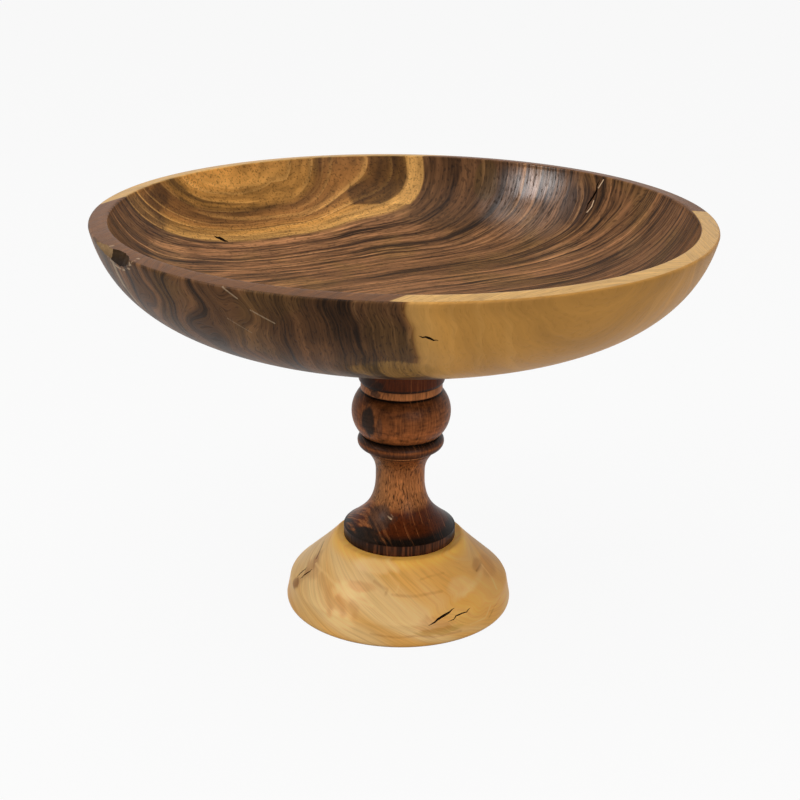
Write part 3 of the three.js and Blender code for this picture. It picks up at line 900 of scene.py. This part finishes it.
def foot_wood(colours):
    finish = Finish(bpy.data.materials.new("Foot sapwood"))
    place = finish.place()
    x, y, z = finish.axes(place)
    c = colours
    slow = finish.noise(place, 40, 0)
    quick = finish.noise(place, 12, 1)
    mean_radius = 47
    rolled = finish.vector(x.turn_from(-y) * mean_radius, z)
    eye = finish.away(place, (24, -51.6, 11.2), (36.7, -41.5, 13.9)) + 3 * (quick - 0.5)
    swirl = 1 - eye.rise(3, 11)
    across = 0.42 * x - 0.5 * y + 1.6 * z + 0.006 * (x + 20) ** 2
    across = across + 9 * (slow - 0.5) + 1.2 * (quick - 0.5) + 0.7 * eye * swirl
    grain = finish.vector(across, 0.8 * x + 0.6 * y, z)
    dark, light = rings(finish, across, x, z, 6.5, 30)
    streaks = finish.noise(grain, (2.6, 40, 40), 3, 0.6)
    fibre = finish.noise(grain, (0.8, 9, 9), 1)
    patchy = finish.noise(grain, (18, 50, 50), 1)
    finish.colour = finish.mix(patchy.rise(0.4, 0.7), c.foot_gold, scaled(c.foot_cream, 0.94))
    finish.paint(0.8 * (z - 30).rise(0, 5), c.foot_yellow, 1.1)
    finish.paint(0.3 * swirl, c.foot_yellow)
    browner = 0.14 * (1 - streaks.rise(0.3, 0.62)) + 0.05 * dark
    finish.paint(browner, c.foot_brown, 1.3)
    finish.paint(0.22 * light, c.foot_cream)
    brown = c.foot_brown
    cream = c.foot_cream
    # Patches: middle, reach, strength, colour and how light it is
    patches = (
        ((-53.6, -16.4, 13.5), (3, 4.5, 2.4), 0.6, brown, 0.4),
        ((-24.7, -39.6, 21.8), (9, 8, 3.2), 0.6, cream, 1.15),
        ((-29.9, -48.8, 9.8), (10, 8, 3.8), 0.65, cream, 1.12),
        ((40, -15, 25), (4, 6, 2.4), 0.35, brown, 0.9),
        ((47, -9, 22), (6, 10, 5), 0.28, brown, 1.1),
        ((21.3, -53.4, 7.3), (13, 8, 1.9), 0.6, c.foot_yellow, 0.6),
        ((-12.8, -33, 32.3), (13, 8, 3.2), 0.55, cream, 1.12),
        ((-18.7, -40, 24.2), (8, 6, 2), 0.3, brown, 1.3),
        ((-44.2, -15.2, 21.8), (5, 9, 5), 0.3, brown, 0.9),
        ((18.9, -53.4, 10.5), (11, 6, 4), 0.3, brown, 1.2),
        ((31.6, -33.9, 22.1), (9, 8, 4), 0.4, cream, 1.0),
    )
    ragged = 1.2 * (finish.noise(grain, (2.6, 9, 9), 3) - 0.5)
    for middle, reach, strength, shade, share in patches:
        patch = (finish.blob(place, middle, reach, 0.7) + ragged).rise(0.2, 0.85)
        finish.paint(strength * patch, shade, share)
    # Brown and cream marks: width, strength, colour, how light it is, and the points of the line
    strokes = (
        (4.6, 0.4, brown, 0.6, (-53, -18, 13.5), (-48.8, -15.6, 17.7), (-44.5, -14, 21.8), (-42.2, -8, 25.5)),
        (0.8, 0.8, brown, 0.3, (-40.1, 1.9, 28.6), (-42.2, -3, 27.4), (-42.6, -7, 26), (-42.3, -9.8, 24.4)),
        (0.9, 0.6, cream, 1.1,
         (-42.8, -13.5, 23.5), (-36.2, -26.5, 23.5), (-28.9, -37.6, 21.1), (-12.7, -49.3, 18)),
        (2.8, 0.35, brown, 1.15,
         (-39.7, -23.9, 22.1), (-35.8, -34.3, 19.2), (-33.6, -43.4, 14.4), (-34.5, -45.3, 10.9)),
        (2.8, 0.35, brown, 1.15, (-30.5, -40.8, 18), (-27.7, -45.7, 15.6), (-27.5, -49.1, 13.2)),
        (2.4, 0.28, brown, 1.15, (-23.6, -46.2, 17.1), (-21, -48.8, 15.9), (-21.7, -52.3, 13)),
        (1.0, 0.3, cream, 1.1,
         (-4.2, -37.9, 29.9), (0.2, -41.6, 26.6), (-0.6, -44.1, 24.2), (-3, -46.2, 22.1)),
        (1.2, 0.35, brown, 1.05, (-12.2, -39.4, 26.9), (-5.5, -43.4, 24.5), (-6.3, -45.2, 22.8)),
        (1.0, 0.34, brown, 0.9,
         (-3, -45.5, 22.8), (7.6, -45.7, 22.1), (15.2, -43.4, 22.5), (21.9, -40.4, 22.5)),
        (0.8, 0.22, brown, 0.9, (10.9, -38.7, 27.9), (15.9, -36.1, 28.6), (22.7, -32.3, 28.6)),
        (0.7, 0.4, brown, 0.5, (39.7, -20.2, 23.8), (42.5, -12, 24.2)),
        (0.8, 0.4, cream, 1.05, (42.7, -12.6, 23.8), (48, -16, 18.3), (50.5, -21.4, 14.4)),
        (2.0, 0.28, cream, 1.05,
         (42.7, -12.6, 23.8), (41, -23.2, 21.5), (34.5, -34.5, 19.8), (27.7, -41.9, 18.6)),
        (1.0, 0.35, brown, 0.9,
         (-13.2, -56.1, 6.6), (0, -57.7, 5.6), (8.8, -57, 6.3), (17.9, -55, 4.9), (31.3, -48.7, 4.9)),
        (0.7, 0.4, cream, 1.05, (36.2, -44.8, 6.6), (44.2, -37.1, 6.3), (46.8, -32.5, 10.5)),
        (0.7, 0.35, brown, 0.8, (46, -35, 5.2), (48.7, -30.2, 8.4), (52.4, -22.5, 10.2)),
    )
    outside = (finish.span(finish.vector(x, y)) + 1.2 * z).rise(52, 56)
    broken = (0.8 + 1.8 * ragged).within(0, 1) * outside
    for width, strength, shade, share, *points in strokes:
        mark = finish.stroke(rolled, unrolled(points, mean_radius), width, 0.9)
        finish.paint(strength * mark * broken, shade, share)
    # Painted contact shadow: a brown line along the foot's lower edge
    finish.paint(0.7 * (1 - z.rise(0.3, 1.1)), c.foot_brown, 0.3)
    strength = 1.2 + 0.25 * (streaks - 0.5) + 0.4 * (fibre - 0.5) + 0.5 * (slow - 0.5)
    finish.colour = finish.scale(finish.colour, strength)
    finish.varnish(0.4 + 0.2 * (streaks - 0.5), 0.5 * streaks + 0.3 * fibre, 0.06 * MM, 0.06)
    return finish.material


def raw_wood(name, colour, dark, low, high):
    """Unfinished wood in a hollow, a pit or a split, with painted shade: dark at the low height and paler at
    the high one.
    """
    finish = Finish(bpy.data.materials.new(name))
    place = finish.place()
    z = finish.axes(place)[2]
    rough = finish.noise(place, 1.6, 3)
    shade = z.rise(low, high) * (0.35 + 1.1 * rough)
    finish.colour = finish.mix(shade.at_most(1), dark, colour)
    finish.varnish(0.6 + 0.2 * rough, rough, 0.4 * MM, 0.0)
    return finish.material


def plated_steel(colours):
    finish = Finish(bpy.data.materials.new("Screw steel"))
    worn = finish.noise(finish.place(), 0.8, 2)
    colour = finish.scale(colours.steel, 0.8 + 0.4 * worn)
    values = {"Base Color": colour, "Metallic": 1.0, "Roughness": 0.3 + 0.2 * worn}
    finish.output(finish.node("ShaderNodeBsdfPrincipled", None, values))
    return finish.material


# The pieces

class FRUITBOWL_OT_bowl(bpy.types.Operator):
    """Turn the bowl and cut its bark edge, its splits and its knot pit"""

    bl_idname = "fruitbowl.bowl"
    bl_label = "Bowl"

    def execute(self, context):
        s = context.scene.fruitbowl_bowl
        colours = context.scene.fruitbowl_wood
        low = BOWL_LOW.z
        top = BOWL_HIGH.z
        rim = s.rim_radius
        inner = rim - s.rim_width
        floor = low + s.floor_thickness
        ease = s.rim_ease
        edge = top - s.rim_fall
        socket = low + s.socket_depth
        outline = Outline((0, socket), (s.socket_radius, socket), (s.socket_radius, low))
        outline.line((s.pad_radius, low), steps=4)
        outline.curve(
            (s.pad_radius + s.underside_reach, low), (rim - s.wall_lean, top - s.wall_drop),
            (rim, edge - ease), steps=70,
        )
        outline.ease((rim, edge), (rim - ease, edge))
        outline.line((inner + ease, top), steps=5)
        outline.ease((inner, top), (inner, top - ease))
        outline.curve(
            (inner - s.inner_lean, top - s.inner_drop), (s.floor_radius + s.floor_reach, floor),
            (s.floor_radius, floor), steps=90,
        )
        outline.line((0, floor), steps=8)
        bowl = turn("bowl_turned", outline, s.around)
        bowl.data.materials.append(bowl_wood(colours))
        # The walls of the splits and hollows are darker low down, as painted shade
        torn = raw_wood("Torn wood", colours.heart_dark, colours.charcoal, 150, 230)
        pale = raw_wood("Bark facet", colours.bark_pale, colours.bark, 198, 206)
        bark = raw_wood("Bark hollow", colours.bark, colours.charcoal, 200, 204.5)
        facet = (s.facet_depth, s.facet_length, s.facet_height)
        bark_edge = (s.bark_depth, s.bark_length, s.bark_height)
        # Splits: name, start, end, the way out of the wood, width, depth and how crooked it is
        splits = (
            ("wall_split", (106.5, 93.6, 204), (98, 88.6, 187), (-0.74, -0.66, 0.15), 1.3, 2.2, 0.7),
            ("outer_split", (6.3, -144.9, 189.7), (14.2, -143.4, 187.2), (0.05, -1, -0.1), 1.1, 1.8, 0.4),
            ("knot_pit", (-100.8, 65.6, 175.5), (-93.2, 66.6, 173.3), (0.33, -0.22, 0.92), 2.6, 2.2, 0.4),
        )
        cut(bowl, [self.hollow("bark_facet", s.facet_angle, facet, rim, pale)])
        tools = [self.hollow("bark_hollow", s.bark_angle, bark_edge, rim, bark)]
        cut(bowl, tools + [split(torn, *row) for row in splits])
        finish_piece(bowl, "bowl")
        return {"FINISHED"}

    def hollow(self, name, facing, size, rim, finish):
        """Uneven cutter at the rim, its size given into the rim, round it and down the wall."""
        deselect()
        bpy.ops.mesh.primitive_ico_sphere_add(subdivisions=5, radius=1)
        tool = named(bpy.context.object, name)
        bpy.ops.object.mode_set(mode="EDIT")
        bpy.ops.mesh.select_all(action="SELECT")
        depth, width, height = size
        bpy.ops.transform.resize(value=(depth + MM, width / 2, height), center_override=(0, 0, 0))
        # With no window, this operator turns the other way
        bpy.ops.transform.rotate(value=-facing, orient_axis="Z", center_override=(0, 0, 0))
        away = rim + MM
        bpy.ops.transform.translate(value=(away * math.cos(facing), away * math.sin(facing), BOWL_HIGH.z))
        bpy.ops.object.mode_set(mode="OBJECT")
        rough = bpy.data.textures.new("bark", "CLOUDS")
        rough.noise_scale = 4 * MM
        uneven = tool.modifiers.new("uneven", "DISPLACE")
        uneven.texture = rough
        uneven.texture_coords = "LOCAL"
        uneven.strength = 1.6 * MM
        bpy.ops.object.modifier_apply(modifier=uneven.name)
        tool.data.materials.append(finish)
        return tool


class FRUITBOWL_OT_stem(bpy.types.Operator):
    """Turn the spindle that joins the bowl to the foot"""

    bl_idname = "fruitbowl.stem"
    bl_label = "Stem"

    def execute(self, context):
        s = context.scene.fruitbowl_stem
        colours = context.scene.fruitbowl_wood
        foot = FOOT_HIGH.z
        disc_top = foot + s.disc_height
        flare = disc_top + s.step_height
        neck = flare + s.flare_height
        cove = neck + s.neck_height
        bead = cove + s.cove_height
        fillet = bead - s.fillet_height
        groove = bead + s.bead_height
        ball = groove + s.groove_height
        band = ball + s.ball_height
        collar = band + s.band_height
        cup = collar + s.collar_height
        lip = cup + s.cup_height
        bowl = lip + s.flange_height
        flare_radius = s.disc_radius - s.step_depth
        lip_radius = flare_radius + s.lip_step
        ease = s.collar_ease
        foot_end = foot - s.foot_tenon
        bowl_end = bowl + s.top_tenon
        pilot_top = foot_end + s.pilot_depth
        outline = Outline((0, pilot_top + s.pilot_point), (s.pilot_radius, pilot_top))
        outline.to((s.pilot_radius, foot_end), (s.tenon_radius - s.tenon_ease, foot_end))
        outline.to((s.tenon_radius, foot_end + s.tenon_ease), (s.tenon_radius, foot))
        outline.to((s.disc_radius - s.disc_ease, foot))
        outline.ease((s.disc_radius, foot), (s.disc_radius, foot + s.disc_ease))
        outline.line((s.disc_radius, disc_top), steps=5)
        outline.to((flare_radius, flare))
        outline.curve(
            (flare_radius - s.flare_reach, flare + s.flare_rise), (s.neck_radius, neck - s.flare_pull),
            (s.neck_radius, neck), steps=48,
        )
        outline.to((s.neck_radius, cove))
        outline.curve(
            (s.neck_radius, cove + s.cove_pull), (s.cove_top_radius, fillet - s.cove_top_pull),
            (s.cove_top_radius, fillet), steps=24,
        )
        outline.to((s.cove_top_radius + s.fillet_step, fillet), (s.cove_top_radius + s.fillet_step, bead))
        outline.swell(bead, s.bead_height, s.bead_end_radius, s.bead_radius, steps=20)
        outline.to((s.groove_radius, groove + s.groove_height / 2))
        outline.swell(ball, s.ball_height, s.ball_end_radius, s.ball_radius, steps=36)
        outline.to((s.band_radius, band + s.band_step))
        outline.line((s.band_radius, collar), steps=3)
        outline.to((s.collar_radius - ease, collar))
        outline.ease((s.collar_radius, collar), (s.collar_radius, collar + 2 * ease))
        outline.to((s.collar_radius, cup))
        outline.curve(
            (s.collar_radius, cup + s.cup_pull), (lip_radius, lip - s.cup_top_pull),
            (lip_radius, lip), steps=24,
        )
        outline.to((s.flange_radius, lip + s.flange_step), (s.flange_radius, bowl), (s.tenon_radius, bowl))
        outline.to((s.tenon_radius, bowl_end - s.tenon_ease), (s.tenon_radius - s.tenon_ease, bowl_end))
        outline.to((0, bowl_end))
        stem = turn("stem_turned", outline, s.around)
        stem.data.materials.append(stem_wood(colours))
        finish_piece(stem, "stem", 25)
        return {"FINISHED"}


class FRUITBOWL_OT_foot(bpy.types.Operator):
    """Turn the domed foot with its hollowed underside and cut its splits"""

    bl_idname = "fruitbowl.foot"
    bl_label = "Foot"

    def execute(self, context):
        s = context.scene.fruitbowl_foot
        colours = context.scene.fruitbowl_wood
        top = FOOT_HIGH.z
        socket = top - s.socket_depth
        ceiling = s.recess_depth
        sink = ceiling + s.head_depth
        corner = s.recess_radius - s.recess_ease
        base = s.base_ease
        wall = s.radius - s.wall_taper
        shoulder = s.wall_height + s.shoulder
        shoulder_radius = wall - s.shoulder_inset
        flank_radius = s.top_radius + s.top_ease
        flank_top = top - s.top_ease
        reach = s.flank_pull - s.flank_hollow
        outline = Outline((s.socket_radius, top), (s.socket_radius, socket), (s.screw_hole, socket))
        outline.to((s.screw_hole, sink + s.screw_sink - s.screw_hole), (s.screw_sink, sink))
        outline.to((s.screw_sink, ceiling))
        outline.line((corner, ceiling), steps=12)
        outline.ease((s.recess_radius, ceiling), (s.recess_radius, ceiling - s.recess_ease), steps=8)
        outline.to((s.recess_radius, 0))
        outline.line((s.radius - base, 0), steps=5)
        outline.ease((s.radius, 0), (s.radius, 2 * base), steps=6)
        outline.line((wall, s.wall_height), steps=8)
        outline.ease((wall, s.wall_height + s.shoulder_corner), (shoulder_radius, shoulder), steps=12)
        outline.curve(
            (shoulder_radius - s.flank_pull, shoulder + reach),
            (flank_radius + reach, flank_top - s.flank_pull - s.flank_hollow),
            (flank_radius, flank_top), steps=40,
        )
        outline.ease((s.top_radius, top), (s.top_radius - s.top_ease, top), steps=6)
        outline.line((s.socket_radius, top), steps=6)
        foot = turn("foot_turned", outline, s.around)
        foot.data.materials.append(foot_wood(colours))
        # The walls of the splits are darker low down, as painted shade
        torn = raw_wood("Split foot wood", colours.heart_deep, colours.charcoal, -10, 60)
        # Splits: name, start, end, the way out of the wood, width, depth and how crooked it is
        splits = (
            ("right_split", (15, -55, 10.8), (28.1, -45.4, 15.9), (0.38, -0.85, 0.45), 1.2, 2, 0.25),
            ("thin_right", (25, -51.4, 11.4), (36.7, -41.9, 14.2), (0.52, -0.78, 0.4), 0.7, 1.5, 0.6),
            ("left_split", (-53.2, -12.4, 15.1), (-47.4, -11.1, 20.4), (-0.75, -0.2, 0.65), 0.9, 1.8, 0.3),
            ("thin_left", (-51.2, -16.1, 15.9), (-44.6, -15.9, 21.6), (-0.72, -0.25, 0.65), 1.0, 1.8, 0.4),
        )
        cut(foot, [split(torn, *row) for row in splits])
        finish_piece(foot, "foot")
        return {"FINISHED"}


class FRUITBOWL_OT_screw(bpy.types.Operator):
    """Make the screw under the foot"""

    bl_idname = "fruitbowl.screw"
    bl_label = "Screw"

    def execute(self, context):
        s = context.scene.fruitbowl_screw
        low = SCREW_LOW.z
        head = SCREW_HIGH.x
        shank = s.shank_radius
        outline = Outline((0, low), (head, low), (shank, low + head - shank))
        outline.line((shank, SCREW_HIGH.z - s.point), steps=8)
        outline.to((0, SCREW_HIGH.z))
        screw = turn("foot_screw_turned", outline, s.around)
        steel = plated_steel(context.scene.fruitbowl_wood)
        screw.data.materials.append(steel)
        face = Vector((0, 0, low))
        down = Vector((0, 0, -1))
        for name, way in (("slot_across", (1, 0, 0)), ("slot_along", (0, 1, 0))):
            end = s.slot_reach * Vector(way)
            spine = [face - end, face, face + end]
            cut(screw, [split_cutter(name, spine, down, s.slot_width, s.slot_depth, steel)])
        finish_piece(screw, "foot_screw")
        return {"FINISHED"}


class FRUITBOWL_OT_stage(bpy.types.Operator):
    """Set up the pale floor, the soft lamps, the world and the camera"""

    bl_idname = "fruitbowl.stage"
    bl_label = "Studio"

    def execute(self, context):
        s = context.scene.fruitbowl_studio
        self.camera(context, s)
        self.floor(s)
        self.world(context)
        for row in LAMPS:
            self.lamp(*row)
        context.scene.view_settings.view_transform = "Standard"
        return {"FINISHED"}

    def camera(self, context, s):
        deselect()
        bpy.ops.object.camera_add(location=(s.camera_side, -s.camera_back, s.camera_height))
        camera = context.object
        pitch = Matrix.Rotation(math.radians(90) - s.camera_pitch, 4, "X")
        roll = Matrix.Rotation(s.camera_roll, 4, "Z")
        camera.matrix_world = Matrix.Translation(camera.location) @ pitch @ roll
        camera.data.lens = s.lens
        camera.data.sensor_width = SENSOR_WIDTH
        camera.data.clip_end = SIGHT
        context.scene.camera = camera

    def floor(self, s):
        deselect()
        bpy.ops.mesh.primitive_plane_add(size=s.floor_size, location=(0, 0, 0))
        floor = named(bpy.context.object, "floor")
        finish = Finish(bpy.data.materials.new("Floor"))
        matt = finish.node("ShaderNodeBsdfDiffuse", None, {"Color": s.floor_pale})
        white = finish.node("ShaderNodeEmission", None, {"Color": WHITE, "Strength": 1.0})
        share = FLOOR_WHITE * finish.seen()
        finish.output(finish.node("ShaderNodeMixShader", None, {0: share, 1: matt, 2: white}))
        floor.data.materials.append(finish.material)

    def world(self, context):
        world = context.scene.world or bpy.data.worlds.new("World")
        context.scene.world = world
        finish = Finish(world, "ShaderNodeOutputWorld")
        dim = finish.node("ShaderNodeBackground", None, {"Color": WHITE, "Strength": WORLD_LIGHT})
        white = finish.node("ShaderNodeBackground", None, {"Color": WHITE, "Strength": 1.0})
        finish.output(finish.node("ShaderNodeMixShader", None, {0: finish.seen(), 1: dim, 2: white}))

    def lamp(self, name, direction, distance, size, power, colour):
        aim = Vector(direction).normalized()
        deselect()
        bpy.ops.object.light_add(type="AREA", location=LAMP_TARGET + aim * distance)
        lamp = bpy.context.object
        lamp.name = name
        lamp.rotation_euler = aim.to_track_quat("Z", "Y").to_euler()
        lamp.data.shape = "DISK"
        lamp.data.size = size
        lamp.data.energy = power
        lamp.data.color = colour


class FRUITBOWL_PT_panel(bpy.types.Panel):
    bl_label = "Fruit bowl"
    bl_idname = "FRUITBOWL_PT_panel"
    bl_space_type = "VIEW_3D"
    bl_region_type = "UI"
    bl_category = "Fruit bowl"

    def draw(self, context):
        for step in STEPS:
            self.layout.operator(step.bl_idname)
        for name in GROUPS:
            box = self.layout.box()
            box.label(text=name.replace("fruitbowl_", "").capitalize())
            group = getattr(context.scene, name)
            for field in group.__annotations__:
                box.prop(group, field)


GROUPS = {
    "fruitbowl_bowl": BowlSizes,
    "fruitbowl_stem": StemSizes,
    "fruitbowl_foot": FootSizes,
    "fruitbowl_screw": ScrewSizes,
    "fruitbowl_wood": WoodColours,
    "fruitbowl_studio": StudioSettings,
}
STEPS = (FRUITBOWL_OT_stage, FRUITBOWL_OT_bowl, FRUITBOWL_OT_stem, FRUITBOWL_OT_foot, FRUITBOWL_OT_screw)


def register():
    for group in GROUPS.values():
        bpy.utils.register_class(group)
    for name, group in GROUPS.items():
        setattr(bpy.types.Scene, name, PointerProperty(type=group))
    for step in STEPS:
        bpy.utils.register_class(step)
    bpy.utils.register_class(FRUITBOWL_PT_panel)


def unregister():
    bpy.utils.unregister_class(FRUITBOWL_PT_panel)
    for step in reversed(STEPS):
        bpy.utils.unregister_class(step)
    for name, group in GROUPS.items():
        delattr(bpy.types.Scene, name)
        bpy.utils.unregister_class(group)


def main():
    register()
    bpy.ops.fruitbowl.stage()
    bpy.ops.fruitbowl.bowl()
    bpy.ops.fruitbowl.stem()
    bpy.ops.fruitbowl.foot()
    bpy.ops.fruitbowl.screw()


if __name__ == "__main__":
    main()
